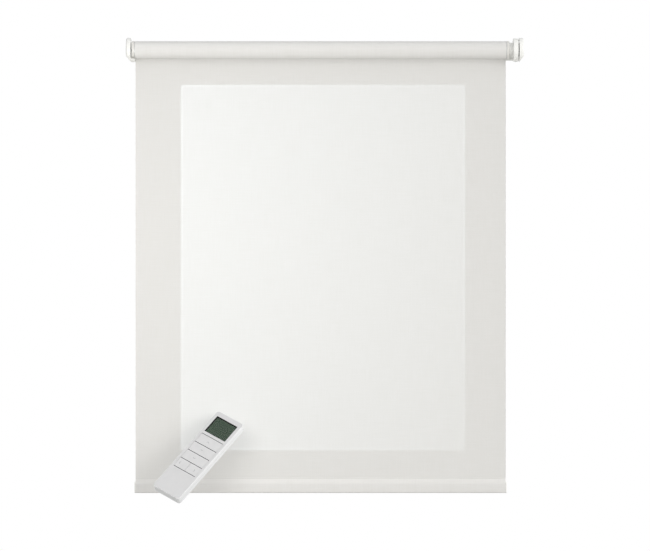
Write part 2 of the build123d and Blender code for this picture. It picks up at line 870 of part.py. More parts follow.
def blind_pieces():
    return {
        "idle_bracket": idle_bracket(),
        "motor_bracket": motor_bracket(),
        "idle_bracket_cover": idle_bracket_cover(),
        "motor_bracket_cover": bracket_cover(1),
        "roller_tube": roller_tube(),
        "fabric_spline": fabric_spline(),
        "fabric_roll": fabric_roll(),
        "idle_plug": idle_plug(),
        "idle_pin": idle_pin(),
        "idle_spring": idle_spring(),
        "crown_ring": crown_ring(),
        "drive_wheel": drive_wheel(),
        "drive_wheel_screw": drive_wheel_screw(),
        "output_shaft": output_shaft(),
        "motor_head": motor_head(),
        "motor_fixing_lug": motor_fixing_lug(),
        "motor_lug_screws": motor_lug_screws(),
        "motor_lock_clip": motor_lock_clip(),
        "motor_casing": motor_casing(),
        "control_board": control_board(),
        "battery_cells": battery_cells(),
        "drive_motor": drive_motor(),
        "gearbox": gearbox(),
        "charge_socket": charge_socket(),
        "set_button": set_button(),
        "status_light": status_light(),
        "fabric_drop": fabric_drop(),
        "hem_pocket": hem_pocket(),
        "hem_bar": hem_bar(),
        "hem_cap_left": hem_cap(-1),
        "hem_cap_right": hem_cap(1),
    }


def remote_pieces():
    pieces = {
        "remote_rear_shell": remote_rear_shell(),
        "remote_front_shell": remote_front_shell(),
        "remote_face_plate": remote_face_plate(),
        "remote_window": remote_window(),
        "remote_window_gasket": remote_window_gasket(),
        "remote_display": remote_display(),
        "remote_circuit_board": remote_circuit_board(),
        "remote_keypad": remote_keypad(),
        "remote_switches": remote_switches(),
        "remote_coin_cell": remote_coin_cell(),
        "remote_cell_holder": remote_cell_holder(),
        "remote_contacts": remote_contacts(),
        "remote_cell_door": remote_cell_door(),
        "remote_screws": remote_screws(),
        "pairing_button": pairing_button(),
    }
    for name, x, y, width, tall in key_cells():
        pieces[name] = remote_key(x, y, width, tall)
    place = remote_frame()
    return {name: place * piece for name, piece in pieces.items()}


os.makedirs("parts", exist_ok=True)
for name, piece in {**blind_pieces(), **remote_pieces()}.items():
    export_step(piece, f"parts/{name}.step")
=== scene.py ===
import bpy
import math
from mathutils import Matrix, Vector, noise


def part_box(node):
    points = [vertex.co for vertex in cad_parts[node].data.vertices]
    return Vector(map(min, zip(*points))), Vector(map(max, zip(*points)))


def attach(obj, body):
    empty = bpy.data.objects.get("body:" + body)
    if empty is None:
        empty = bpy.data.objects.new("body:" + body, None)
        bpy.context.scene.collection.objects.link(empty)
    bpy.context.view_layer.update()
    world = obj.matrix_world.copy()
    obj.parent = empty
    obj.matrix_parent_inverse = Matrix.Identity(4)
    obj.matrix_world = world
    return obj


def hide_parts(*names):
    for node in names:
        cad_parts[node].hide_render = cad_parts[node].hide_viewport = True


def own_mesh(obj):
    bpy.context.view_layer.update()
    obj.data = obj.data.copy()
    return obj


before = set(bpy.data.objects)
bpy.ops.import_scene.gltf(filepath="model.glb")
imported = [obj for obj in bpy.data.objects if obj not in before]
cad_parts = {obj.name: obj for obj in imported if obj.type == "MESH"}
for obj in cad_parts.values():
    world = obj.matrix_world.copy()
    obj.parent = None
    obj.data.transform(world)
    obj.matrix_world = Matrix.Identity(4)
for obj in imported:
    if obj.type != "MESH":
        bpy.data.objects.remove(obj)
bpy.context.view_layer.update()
scene = bpy.context.scene
scene.view_settings.view_transform = "Standard"
mm = 0.001
print("frame loaded:", len(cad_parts), "nodes")


def fromHex(text):
    # sRGB hex to the linear numbers that a shader takes
    parts = [int(text[i:i + 2], 16) / 255 for i in (1, 3, 5)]
    return [p / 12.92 if p <= 0.04045 else ((p + 0.055) / 1.055) ** 2.4 for p in parts] + [1.0]


def addNode(tree, kind, settings=None, inputs=None):
    # one node with its settings, and its inputs as values or as sockets to link
    made = tree.nodes.new(kind)
    for key, value in (settings or {}).items():
        setattr(made, key, value)
    for key, value in (inputs or {}).items():
        if isinstance(value, bpy.types.NodeSocket):
            tree.links.new(value, made.inputs[key])
        else:
            made.inputs[key].default_value = value
    return made


def emptyMaterial(name):
    made = bpy.data.materials.new(name)
    made.use_nodes = True
    made.node_tree.nodes.clear()
    return made, made.node_tree


# straight on, level with the middle of the blind, from far enough that the ends look flat
cameraLook = {"place": (0.0, -5.038, -0.3407), "fieldDegrees": 11.22, "sensor": 36}


def makeCamera():
    data = bpy.data.cameras.new("camera")
    data.sensor_width = cameraLook["sensor"]
    data.lens = data.sensor_width / 2 / math.tan(math.radians(cameraLook["fieldDegrees"] / 2))
    camera = bpy.data.objects.new("camera", data)
    camera.location = cameraLook["place"]
    camera.rotation_euler = (math.pi / 2, 0, 0)
    scene.collection.objects.link(camera)
    scene.camera = camera


makeCamera()
print("camera placed")

# white walls all round, brighter overhead and to the right
room = {"colour": "#F6F7F8", "level": 0.50, "lean": (0.32, -0.10, 0.36)}
# a very large soft lamp far off at the right, level with the blind, and a weaker one near its left side
keyLamp = {"colour": "#FFFDFA", "place": (4.0, -4.4, -0.25), "size": 5.0, "power": 245.0}
fillLamp = {"colour": "#FFFDFA", "place": (-0.40, -0.68, -0.26), "size": 0.45, "power": 1.85}
lampsAim = (0, 0, -0.34)   # the middle of the blind
# pale floor that goes over into the white behind between the two radii of its fade
floor = {"height": -1.05, "radius": 4.0, "sides": 64, "colour": "#D8D7D4", "speck": "#DDDCD9",
         "speckScale": 60.0, "roughness": 0.6, "fade": (0.55, 1.08)}
# daylight on the cloth, as one window pane lets it in: its corners across and up, how far it stands off
# the cloth, how its light falls off towards the lower right, and how bright its rim is
pane = {"colour": "#E6F4FF", "power": 0.212, "off": 0.65 * mm, "low": (-0.2179, -0.6050),
        "high": (0.2119, -0.0523), "slant": 0.5, "ends": (1.0, 0.36), "rim": 2.4 * mm, "rimGain": 0.6}


def seenDirectly(tree):
    # 1 where the eye, a reflection or clear plastic looks at it, 0 where it lights the scene
    rays = addNode(tree, "ShaderNodeLightPath")
    through = addNode(tree, "ShaderNodeMath", {"operation": "SUBTRACT", "use_clamp": True},
                      {0: rays.outputs["Is Transmission Ray"], 1: rays.outputs["Is Diffuse Ray"]})
    eye = addNode(tree, "ShaderNodeMath", {"operation": "MAXIMUM"},
                  {0: rays.outputs["Is Camera Ray"], 1: rays.outputs["Is Glossy Ray"]})
    both = addNode(tree, "ShaderNodeMath", {"operation": "MAXIMUM"},
                   {0: through.outputs[0], 1: eye.outputs[0]})
    return both.outputs[0]


def makeRoom():
    world = bpy.data.worlds.new("whiteRoom")
    scene.world = world
    world.use_nodes = True
    tree = world.node_tree
    tree.nodes.clear()
    way = addNode(tree, "ShaderNodeTexCoord").outputs["Generated"]
    lean = addNode(tree, "ShaderNodeVectorMath", {"operation": "DOT_PRODUCT"}, {0: way, 1: room["lean"]})
    level = addNode(tree, "ShaderNodeMath", {"operation": "ADD"}, {
        0: lean.outputs["Value"], 1: room["level"]})
    light = addNode(tree, "ShaderNodeBackground", inputs={
        "Color": fromHex(room["colour"]), "Strength": level.outputs[0]})
    white = addNode(tree, "ShaderNodeBackground", inputs={"Color": (1, 1, 1, 1), "Strength": 1.0})
    mixed = addNode(tree, "ShaderNodeMixShader", inputs={
        0: seenDirectly(tree), 1: light.outputs[0], 2: white.outputs[0]})
    addNode(tree, "ShaderNodeOutputWorld", inputs={"Surface": mixed.outputs[0]})


def makeLamp(name, look):
    data = bpy.data.lights.new(name, "AREA")
    data.size = look["size"]
    data.energy = look["power"]
    data.color = fromHex(look["colour"])[:3]
    lamp = bpy.data.objects.new(name, data)
    lamp.location = look["place"]
    aim = Vector(lampsAim) - lamp.location
    lamp.rotation_euler = aim.to_track_quat("-Z", "Y").to_euler()
    scene.collection.objects.link(lamp)


def makeFloor():
    sides = floor["sides"]
    ring = [(math.cos(a) * floor["radius"], math.sin(a) * floor["radius"], floor["height"])
            for a in (2 * math.pi * i / sides for i in range(sides))]
    mesh = bpy.data.meshes.new("studioFloor")
    mesh.from_pydata(ring, [], [list(range(sides))])
    slab = bpy.data.objects.new("studioFloor", mesh)
    scene.collection.objects.link(slab)
    # matt painted board: even, pale, fading into the white room
    made, tree = emptyMaterial("paintedBoard")
    place = addNode(tree, "ShaderNodeTexCoord").outputs["Object"]
    flat = addNode(tree, "ShaderNodeVectorMath", {"operation": "MULTIPLY"}, {0: place, 1: (1, 1, 0)})
    far = addNode(tree, "ShaderNodeVectorMath", {"operation": "LENGTH"}, {0: flat.outputs[0]})
    fade = addNode(tree, "ShaderNodeMapRange", {"interpolation_type": "SMOOTHSTEP"}, {
        "Value": far.outputs["Value"], "From Min": floor["fade"][0], "From Max": floor["fade"][1]})
    shown = addNode(tree, "ShaderNodeMath", {"operation": "MULTIPLY"}, {
        0: fade.outputs[0], 1: seenDirectly(tree)})
    speck = addNode(tree, "ShaderNodeTexNoise", inputs={
        "Vector": place, "Scale": floor["speckScale"], "Detail": 2.0})
    tint = addNode(tree, "ShaderNodeMix", {"data_type": "RGBA"}, {
        0: speck.outputs["Fac"], 6: fromHex(floor["colour"]), 7: fromHex(floor["speck"])})
    board = addNode(tree, "ShaderNodeBsdfDiffuse", inputs={
        "Color": tint.outputs[2], "Roughness": floor["roughness"]})
    white = addNode(tree, "ShaderNodeEmission", inputs={"Color": (1, 1, 1, 1), "Strength": 1.0})
    mixed = addNode(tree, "ShaderNodeMixShader", inputs={
        0: shown.outputs[0], 1: board.outputs[0], 2: white.outputs[0]})
    addNode(tree, "ShaderNodeOutputMaterial", inputs={"Surface": mixed.outputs[0]})
    mesh.materials.append(made)


def makePane(top, bottom):
    # a lamp of the pane's size just in front of the cloth, as steep as the cloth is between its top and
    # bottom; it is stronger at the upper left and along its rim, and isn't seen itself
    low, high = pane["low"], pane["high"]
    data = bpy.data.lights.new("paneLight", "AREA")
    data.shape = "RECTANGLE"
    data.size = high[0] - low[0]
    data.size_y = high[1] - low[1]
    data.energy = pane["power"]
    data.color = fromHex(pane["colour"])[:3]
    data.use_nodes = True
    tree = data.node_tree
    tree.nodes.clear()
    place = addNode(tree, "ShaderNodeNewGeometry").outputs["Parametric"]
    parts = addNode(tree, "ShaderNodeSeparateXYZ", inputs={0: place})
    aslant = addNode(tree, "ShaderNodeMath", {"operation": "MULTIPLY_ADD"}, {
        0: parts.outputs["Y"], 1: -pane["slant"], 2: parts.outputs["X"]})
    level = addNode(tree, "ShaderNodeMapRange", inputs={
        "Value": aslant.outputs[0], "From Min": -pane["slant"], "From Max": 1.0,
        "To Min": pane["ends"][0], "To Max": pane["ends"][1]})
    inward = []
    for axis, length in (("X", data.size), ("Y", data.size_y)):
        share = addNode(tree, "ShaderNodeMath", {"operation": "PINGPONG"}, {0: parts.outputs[axis], 1: 0.5})
        inward.append(addNode(tree, "ShaderNodeMath", {"operation": "MULTIPLY"}, {
            0: share.outputs[0], 1: length}))
    nearest = addNode(tree, "ShaderNodeMath", {"operation": "MINIMUM"}, {
        0: inward[0].outputs[0], 1: inward[1].outputs[0]})
    rim = addNode(tree, "ShaderNodeMath", {"operation": "LESS_THAN"}, {0: nearest.outputs[0], 1: pane["rim"]})
    gain = addNode(tree, "ShaderNodeMath", {"operation": "MULTIPLY_ADD"}, {
        0: rim.outputs[0], 1: pane["rimGain"], 2: 1.0})
    strength = addNode(tree, "ShaderNodeMath", {"operation": "MULTIPLY"}, {
        0: level.outputs[0], 1: gain.outputs[0]})
    glow = addNode(tree, "ShaderNodeEmission", inputs={"Strength": strength.outputs[0]})
    addNode(tree, "ShaderNodeOutputLight", inputs={"Surface": glow.outputs[0]})
    tilt = (bottom[1] - top[1]) / (top[0] - bottom[0])
    middle = (low[1] + high[1]) / 2
    lamp = bpy.data.objects.new("paneLight", data)
    lamp.location = ((low[0] + high[0]) / 2, top[1] + tilt * (top[0] - middle) - pane["off"], middle)
    lamp.rotation_euler = (math.pi / 2 + tilt, 0, 0)
    lamp.visible_camera = False
    lamp.visible_glossy = False
    scene.collection.objects.link(lamp)


makeRoom()
makeLamp("keyLamp", keyLamp)
makeLamp("fillLamp", fillLamp)
makeFloor()
print("studio lit")

# how the remote control lies: its middle, the way across it and the way out of its face;
# the heights over its middle, the seam, the strokes and the display are in millimetres
remote = {"at": (-0.1885, -0.0843, -0.6131), "across": (0.7941, -0.4514, -0.4074),
          "face": (-0.1257, -0.7775, 0.6166), "faceHeight": 7.2, "seamHeight": 0.6, "seam": 0.35,
          "inkThick": 0.03, "stroke": 0.62, "strokeRounds": 2,
          "displayMiddle": 55.7, "displayHalf": (20.3, 16.75), "border": 1.9}
remoteWays = {"across": Vector(remote["across"]).normalized(), "face": Vector(remote["face"]).normalized()}
remoteWays["along"] = remoteWays["face"].cross(remoteWays["across"])


def onRemote(tree, way):
    # millimetres from the remote control's middle along one of its ways
    place = addNode(tree, "ShaderNodeTexCoord").outputs["Object"]
    off = addNode(tree, "ShaderNodeVectorMath", {"operation": "SUBTRACT"}, {0: place, 1: remote["at"]})
    scaled = remoteWays[way] / mm
    dot = addNode(tree, "ShaderNodeVectorMath", {"operation": "DOT_PRODUCT"}, {
        0: off.outputs[0], 1: scaled})
    return dot.outputs["Value"]


def sizeOf(tree, value, less=0.0):
    # how far a value lies from another, whichever side it is on
    off = addNode(tree, "ShaderNodeMath", {"operation": "SUBTRACT"}, {0: value, 1: less})
    return addNode(tree, "ShaderNodeMath", {"operation": "ABSOLUTE"}, {0: off.outputs[0]}).outputs[0]


def colourWhere(tree, share, colour, tone):
    # the colour over the tone, as far as the share goes
    mixed = addNode(tree, "ShaderNodeMix", {"data_type": "RGBA"}, {0: share, 6: tone, 7: fromHex(colour)})
    return mixed.outputs[2]


def turnedColour(tree, tone, way, low, high, colour):
    # another colour on the walls that face up or down one of the remote control's ways;
    # it starts where they face it by the low share and is full at the high one
    normal = addNode(tree, "ShaderNodeTexCoord").outputs["Normal"]
    facing = addNode(tree, "ShaderNodeVectorMath", {"operation": "DOT_PRODUCT"}, {
        0: normal, 1: remoteWays[way]})
    share = addNode(tree, "ShaderNodeMapRange", inputs={
        "Value": sizeOf(tree, facing.outputs["Value"]), "From Min": low, "From Max": high})
    return colourWhere(tree, share.outputs[0], colour, tone)


def partingLine(tree, tone, colour):
    # painted shade: a thin grey line where the two shells meet, for the shade in their seam
    off = sizeOf(tree, onRemote(tree, "face"), remote["seamHeight"])
    near = addNode(tree, "ShaderNodeMath", {"operation": "LESS_THAN"}, {0: off, 1: remote["seam"] / 2})
    return colourWhere(tree, near.outputs[0], colour, tone)


# the noise values between which patches and grain go from one end to the other
patchSpan, grainSpan = (0.32, 0.68), (0.3, 0.7)


def finishOf(name, look):
    # one solid finish: two close tones in soft patches, with a fine grain in gloss and relief;
    # patch, grain and relief are in millimetres
    made, tree = emptyMaterial(name)
    place = addNode(tree, "ShaderNodeTexCoord").outputs["Object"]
    drawn = addNode(tree, "ShaderNodeMapping", inputs={
        "Vector": place, "Scale": look.get("stretch", (1, 1, 1))})
    patch = addNode(tree, "ShaderNodeTexNoise", inputs={
        "Vector": drawn.outputs[0], "Scale": 1 / (look["patch"] * mm), "Detail": 3.0})
    share = addNode(tree, "ShaderNodeMapRange", inputs={
        "Value": patch.outputs["Fac"], "From Min": patchSpan[0], "From Max": patchSpan[1]})
    grain = addNode(tree, "ShaderNodeTexNoise", inputs={
        "Vector": drawn.outputs[0], "Scale": 1 / (look["grain"] * mm), "Detail": 2.0, "Roughness": 0.6})
    tone = addNode(tree, "ShaderNodeMix", {"data_type": "RGBA"}, {
        0: share.outputs[0], 6: fromHex(look["colour"]), 7: fromHex(look["shade"])})
    colour = tone.outputs[2]
    if "turned" in look:
        colour = turnedColour(tree, colour, *look["turned"])
    if "parting" in look:
        colour = partingLine(tree, colour, look["parting"])
    rough = addNode(tree, "ShaderNodeMapRange", inputs={
        "Value": grain.outputs["Fac"], "From Min": grainSpan[0], "From Max": grainSpan[1],
        "To Min": look["roughness"][0], "To Max": look["roughness"][1]})
    relief = addNode(tree, "ShaderNodeBump", inputs={
        "Height": grain.outputs["Fac"], "Distance": look["relief"] * mm, "Strength": 1.0})
    shader = addNode(tree, "ShaderNodeBsdfPrincipled", inputs={
        "Base Color": colour, "Roughness": rough.outputs[0], "Normal": relief.outputs[0],
        "Metallic": look.get("metallic", 0.0), "IOR": look.get("ior", 1.5),
        "Coat Weight": look.get("coat", 0.0), "Transmission Weight": look.get("clear", 0.0)})
    addNode(tree, "ShaderNodeOutputMaterial", inputs={"Surface": shader.outputs[0]})
    return made


# spark-textured ABS: white satin with a fine even grain, a little softer in the light than paint
whiteAbs = {"colour": "#F1F1EE", "shade": "#ECECE9", "patch": 24, "grain": 0.5, "relief": 0.02,
            "roughness": (0.34, 0.48), "ior": 1.53}
# moulded polypropylene, natural white: duller and greyer than the covers, slightly waxy
naturalPolypropylene = {"colour": "#DDDCD8", "shade": "#D7D6D2", "patch": 9, "grain": 0.5, "relief": 0.015,
                        "roughness": (0.38, 0.5), "ior": 1.49}
# powder coat on pressed steel: white with a shallow orange peel that breaks up the highlights
whiteCoat = {"colour": "#EEEEEA", "shade": "#E7E7E3", "patch": 18, "grain": 1.4, "relief": 0.05,
             "roughness": (0.28, 0.42), "ior": 1.5}
# mill-finish extrusion: die lines along the tube, silver, half dull
tubeAluminium = {"colour": "#C9CBCD", "shade": "#B9BBBE", "patch": 30, "grain": 0.6, "relief": 0.02,
                 "roughness": (0.3, 0.5), "metallic": 1.0, "stretch": (0.02, 1, 1)}
# anodised bar: the same die lines under a paler, more even skin
barAluminium = {"colour": "#D2D3D4", "shade": "#C5C6C8", "patch": 40, "grain": 0.8, "relief": 0.01,
                "roughness": (0.32, 0.42), "metallic": 1.0, "stretch": (0.02, 1, 1)}
# extruded PVC strip: off-white, waxy, with faint drag marks along it
splinePvc = {"colour": "#DAD9D2", "shade": "#CFCEC6", "patch": 22, "grain": 0.7, "relief": 0.02,
             "roughness": (0.35, 0.5), "ior": 1.54, "stretch": (0.05, 1, 1)}
# turned and zinc-plated steel: bright grey with a slight blue cast and tool marks
platedSteel = {"colour": "#B4B7BB", "shade": "#9EA1A6", "patch": 3, "grain": 0.3, "relief": 0.01,
               "roughness": (0.22, 0.38), "metallic": 1.0}
# hard-drawn spring steel: darker and smoother, oiled
springSteel = {"colour": "#8E9093", "shade": "#77797C", "patch": 4, "grain": 0.25, "relief": 0.01,
               "roughness": (0.24, 0.36), "metallic": 1.0}
# cold-rolled steel tube: grey, with rolling marks along it
casingSteel = {"colour": "#A9ABAD", "shade": "#97999B", "patch": 12, "grain": 0.7, "relief": 0.02,
               "roughness": (0.34, 0.5), "metallic": 1.0, "stretch": (0.05, 1, 1)}
# glass-filled nylon: mid grey with paler fibre streaks at the skin
greyNylon = {"colour": "#777779", "shade": "#85868A", "patch": 2.5, "grain": 0.5, "relief": 0.03,
             "roughness": (0.45, 0.62), "ior": 1.53}
# moulded rubber channel: black, smooth and dull, a little paler where it was handled
blackRubber = {"colour": "#141414", "shade": "#1A1A1B", "patch": 4, "grain": 0.6, "relief": 0.01,
               "roughness": (0.6, 0.75), "ior": 1.52}
# moulded black ABS: near black, satin
blackAbs = {"colour": "#161617", "shade": "#1E1E20", "patch": 6, "grain": 0.4, "relief": 0.02,
            "roughness": (0.4, 0.55), "ior": 1.53}
# heat-shrunk sleeve: glossy, drawn tight, a little darker in the folds
shrunkSleeve = {"colour": "#3A5F96", "shade": "#31538A", "patch": 9, "grain": 2.0, "relief": 0.03,
                "roughness": (0.16, 0.28), "ior": 1.49}
# diffusing acrylic: milky, lets some light in
milkyAcrylic = {"colour": "#E3EBE2", "shade": "#D9E2D9", "patch": 1.2, "grain": 0.3, "relief": 0.005,
                "roughness": (0.3, 0.4), "ior": 1.49, "clear": 0.25}
paintedShadeWalls = ("along", 0.69, 0.71, "#1E1E1F")   # painted shade: near black on the key and opening walls that face up or down the remote, for the shade in the gaps between keys and round the display
# sprayed ABS face: silver-grey, even, with a very fine metallic speckle; painted shade on its openings' walls
# that face up or down the remote
sprayedFace = {"colour": "#CBCBCC", "shade": "#C7C7C8", "patch": 14, "grain": 0.35, "relief": 0.006,
               "roughness": (0.3, 0.42), "ior": 1.5, "coat": 0.15, "turned": paintedShadeWalls}
# keys sprayed in the face's colour, a touch duller, with the same painted shade on their walls
sprayedKeys = {"colour": "#CDCDCE", "shade": "#C9C9CA", "patch": 8, "grain": 0.35, "relief": 0.008,
               "roughness": (0.4, 0.52), "ior": 1.5, "turned": paintedShadeWalls}
# glossy white ABS shells: cleaner and brighter than the blind's fittings, with painted shade along their
# parting line
glossAbs = {"colour": "#F2F3F5", "shade": "#EEEFF1", "patch": 20, "grain": 1.2, "relief": 0.002,
            "roughness": (0.2, 0.26), "ior": 1.53, "coat": 0.2, "parting": "#CFD0D2"}
# the same on the front shell, greyer on its surfaces that face out with the face plate, round the plate
lippedAbs = {**glossAbs, "turned": ("face", 0.2, 0.8, "#DBDBDC")}
# silicone mat: dark grey seen in the gaps between keys, soft and dull
siliconeMat = {"colour": "#242425", "shade": "#1D1D1E", "patch": 5, "grain": 0.4, "relief": 0.02,
               "roughness": (0.6, 0.75), "ior": 1.43}
# nickel flash on brass: warm silver
flashedBrass = {"colour": "#C9B88A", "shade": "#B9A873", "patch": 2, "grain": 0.3, "relief": 0.01,
                "roughness": (0.22, 0.34), "metallic": 1.0}
# pad-printed ink: flat mid grey, slightly uneven where the pad lifted
printedInk = {"colour": "#8F9092", "shade": "#9A9B9D", "patch": 0.8, "grain": 0.3, "relief": 0.003,
              "roughness": (0.45, 0.6), "ior": 1.5}


# solder mask over copper: dark green with lighter lines where the tracks run
solderMask = {"colour": "#1D6138", "shade": "#1A5A34", "track": "#3C8455", "trackWide": 0.25 * mm,
              "fieldLong": 5.5 * mm, "rowHigh": 1.9 * mm, "relief": 0.04 * mm, "roughness": 0.32, "ior": 1.55}


def glassEpoxyBoard():
    made, tree = emptyMaterial("glassEpoxyBoard")
    place = addNode(tree, "ShaderNodeTexCoord").outputs["Object"]
    tracks = addNode(tree, "ShaderNodeTexBrick", {"offset": 0.5}, {
        "Vector": place, "Color1": fromHex(solderMask["colour"]), "Color2": fromHex(solderMask["shade"]),
        "Mortar": fromHex(solderMask["track"]), "Scale": 1.0, "Mortar Size": solderMask["trackWide"],
        "Mortar Smooth": 0.2, "Brick Width": solderMask["fieldLong"], "Row Height": solderMask["rowHigh"]})
    relief = addNode(tree, "ShaderNodeBump", inputs={
        "Height": tracks.outputs["Fac"], "Distance": solderMask["relief"], "Strength": 1.0})
    shader = addNode(tree, "ShaderNodeBsdfPrincipled", inputs={
        "Base Color": tracks.outputs["Color"], "Normal": relief.outputs[0],
        "Roughness": solderMask["roughness"], "IOR": solderMask["ior"]})
    addNode(tree, "ShaderNodeOutputMaterial", inputs={"Surface": shader.outputs[0]})
    return made


# reflective display, switched off: grey-green, with the faint grid of its unlit segments and a printed
# black border round the glass; sizes are in millimetres
displayGlass = {"colour": "#455A47", "shade": "#425643", "gap": "#485D4A", "patch": "#3B4D3E",
                "border": "#0E0F0E", "gapWide": 0.12, "segment": (6.0, 10.0), "patchScale": 0.04,
                "roughness": 0.25, "ior": 1.5, "shine": 0.15}


def liquidCrystal():
    made, tree = emptyMaterial("liquidCrystal")
    across, along = onRemote(tree, "across"), onRemote(tree, "along")
    place = addNode(tree, "ShaderNodeCombineXYZ", inputs={0: across, 1: along}).outputs[0]
    cells = addNode(tree, "ShaderNodeTexBrick", {"offset": 0.0}, {
        "Vector": place, "Color1": fromHex(displayGlass["colour"]), "Color2": fromHex(displayGlass["shade"]),
        "Mortar": fromHex(displayGlass["gap"]), "Scale": 1.0, "Mortar Size": displayGlass["gapWide"],
        "Mortar Smooth": 0.5, "Brick Width": displayGlass["segment"][0],
        "Row Height": displayGlass["segment"][1]})
    patch = addNode(tree, "ShaderNodeTexNoise", inputs={
        "Vector": place, "Scale": displayGlass["patchScale"], "Detail": 1.0})
    tone = addNode(tree, "ShaderNodeMix", {"data_type": "RGBA"}, {
        0: patch.outputs["Fac"], 6: cells.outputs["Color"], 7: fromHex(displayGlass["patch"])})
    fromMiddle = (sizeOf(tree, across), sizeOf(tree, along, remote["displayMiddle"]))
    sides = [addNode(tree, "ShaderNodeMath", {"operation": "SUBTRACT"}, {0: half, 1: off}).outputs[0]
             for half, off in zip(remote["displayHalf"], fromMiddle)]
    nearest = addNode(tree, "ShaderNodeMath", {"operation": "MINIMUM"}, {0: sides[0], 1: sides[1]})
    rim = addNode(tree, "ShaderNodeMath", {"operation": "LESS_THAN"}, {
        0: nearest.outputs[0], 1: remote["border"]})
    colour = colourWhere(tree, rim.outputs[0], displayGlass["border"], tone.outputs[2])
    shader = addNode(tree, "ShaderNodeBsdfPrincipled", inputs={
        "Base Color": colour, "Roughness": displayGlass["roughness"], "IOR": displayGlass["ior"],
        "Specular IOR Level": displayGlass["shine"]})
    addNode(tree, "ShaderNodeOutputMaterial", inputs={"Surface": shader.outputs[0]})
    return made


# polished window with an anti-reflection coat: clear, a faint grey tint, a little haze from handling
windowClear = {"colour": "#EEF3EF", "haze": 9 * mm, "roughness": (0.0, 0.02), "ior": 1.58,
               "reflects": (0.3, 0.3, 0.3, 1.0)}


def clearPolycarbonate():
    made, tree = emptyMaterial("clearPolycarbonate")
    place = addNode(tree, "ShaderNodeTexCoord").outputs["Object"]
    haze = addNode(tree, "ShaderNodeTexNoise", inputs={
        "Vector": place, "Scale": 1 / windowClear["haze"], "Detail": 3.0})
    rough = addNode(tree, "ShaderNodeMapRange", inputs={
        "Value": haze.outputs["Fac"], "To Min": windowClear["roughness"][0],
        "To Max": windowClear["roughness"][1]})
    shader = addNode(tree, "ShaderNodeBsdfPrincipled", inputs={
        "Base Color": fromHex(windowClear["colour"]), "Roughness": rough.outputs[0],
        "IOR": windowClear["ior"], "Specular Tint": windowClear["reflects"], "Transmission Weight": 1.0})
    addNode(tree, "ShaderNodeOutputMaterial", inputs={"Surface": shader.outputs[0]})
    return made


# plain weave polyester, in millimetres: the threads lie 0.5 apart and are drawn at 1.5 so that a trace of
# them shows; slubs are thicker lengths of yarn, about 34 long; the last three are shares of the light that
# comes through the hanging cloth and the wound one, and how much the slubs change them
weave = {"light": "#ECEBE9", "dark": "#E8E7E4", "behind": "#F4F3EF", "thread": 1.5, "slubLong": 34.0,
         "slubWide": 1.5, "slubSpan": (0.72, 1.28), "slubHigh": 0.6, "relief": 0.06, "reliefShare": 0.6,
         "roughness": 0.78, "ior": 1.5, "shine": 0.3, "sheen": 0.12, "sheenRoughness": 0.5,
         "hangingThrough": 0.34, "woundThrough": 0.15, "throughVaries": 0.06}


def wovenPolyester(name, through):
    made, tree = emptyMaterial(name)
    cloth = addNode(tree, "ShaderNodeTexCoord").outputs["UV"]   # metres across and along the cloth
    longWay, wideWay = 1 / (weave["slubLong"] * mm), 1 / (weave["slubWide"] * mm)
    weftPlace = addNode(tree, "ShaderNodeMapping", inputs={"Vector": cloth, "Scale": (longWay, wideWay, 1)})
    warpPlace = addNode(tree, "ShaderNodeMapping", inputs={"Vector": cloth, "Scale": (wideWay, longWay, 1)})
    weft = addNode(tree, "ShaderNodeTexNoise", inputs={
        "Vector": weftPlace.outputs[0], "Scale": 1.0, "Detail": 2.0})
    warp = addNode(tree, "ShaderNodeTexNoise", inputs={
        "Vector": warpPlace.outputs[0], "Scale": 1.0, "Detail": 2.0})
    slubs = addNode(tree, "ShaderNodeMath", {"operation": "ADD"}, {
        0: weft.outputs["Fac"], 1: warp.outputs["Fac"]})
    share = addNode(tree, "ShaderNodeMapRange", inputs={
        "Value": slubs.outputs[0], "From Min": weave["slubSpan"][0], "From Max": weave["slubSpan"][1]})
    perMetre = 2 * math.pi / (20 * weave["thread"] * mm)   # a wave texture turns 20 radians in one unit
    across = addNode(tree, "ShaderNodeTexWave", {"bands_direction": "X"}, {
        "Vector": cloth, "Scale": perMetre})
    along = addNode(tree, "ShaderNodeTexWave", {"bands_direction": "Y"}, {
        "Vector": cloth, "Scale": perMetre})
    threads = addNode(tree, "ShaderNodeMath", {"operation": "MULTIPLY"}, {
        0: across.outputs["Fac"], 1: along.outputs["Fac"]})
    height = addNode(tree, "ShaderNodeMath", {"operation": "MULTIPLY_ADD"}, {
        0: share.outputs[0], 1: weave["slubHigh"], 2: threads.outputs[0]})
    relief = addNode(tree, "ShaderNodeBump", inputs={
        "Height": height.outputs[0], "Distance": weave["relief"] * mm, "Strength": weave["reliefShare"]})
    tone = addNode(tree, "ShaderNodeMix", {"data_type": "RGBA"}, {
        0: share.outputs[0], 6: fromHex(weave["dark"]), 7: fromHex(weave["light"])})
    front = addNode(tree, "ShaderNodeBsdfPrincipled", inputs={
        "Base Color": tone.outputs[2], "Normal": relief.outputs[0], "Roughness": weave["roughness"],
        "IOR": weave["ior"], "Specular IOR Level": weave["shine"], "Sheen Weight": weave["sheen"],
        "Sheen Roughness": weave["sheenRoughness"]})
    back = addNode(tree, "ShaderNodeBsdfTranslucent", inputs={
        "Color": fromHex(weave["behind"]), "Normal": relief.outputs[0]})
    letThrough = addNode(tree, "ShaderNodeMapRange", inputs={
        "Value": share.outputs[0], "To Min": through * (1 + weave["throughVaries"]),
        "To Max": through * (1 - weave["throughVaries"])})
    mixed = addNode(tree, "ShaderNodeMixShader", inputs={
        0: letThrough.outputs[0], 1: front.outputs[0], 2: back.outputs[0]})
    addNode(tree, "ShaderNodeOutputMaterial", inputs={"Surface": mixed.outputs[0]})
    return made


hangingCloth = wovenPolyester("wovenPolyesterHanging", weave["hangingThrough"])
woundCloth = wovenPolyester("wovenPolyesterWound", weave["woundThrough"])

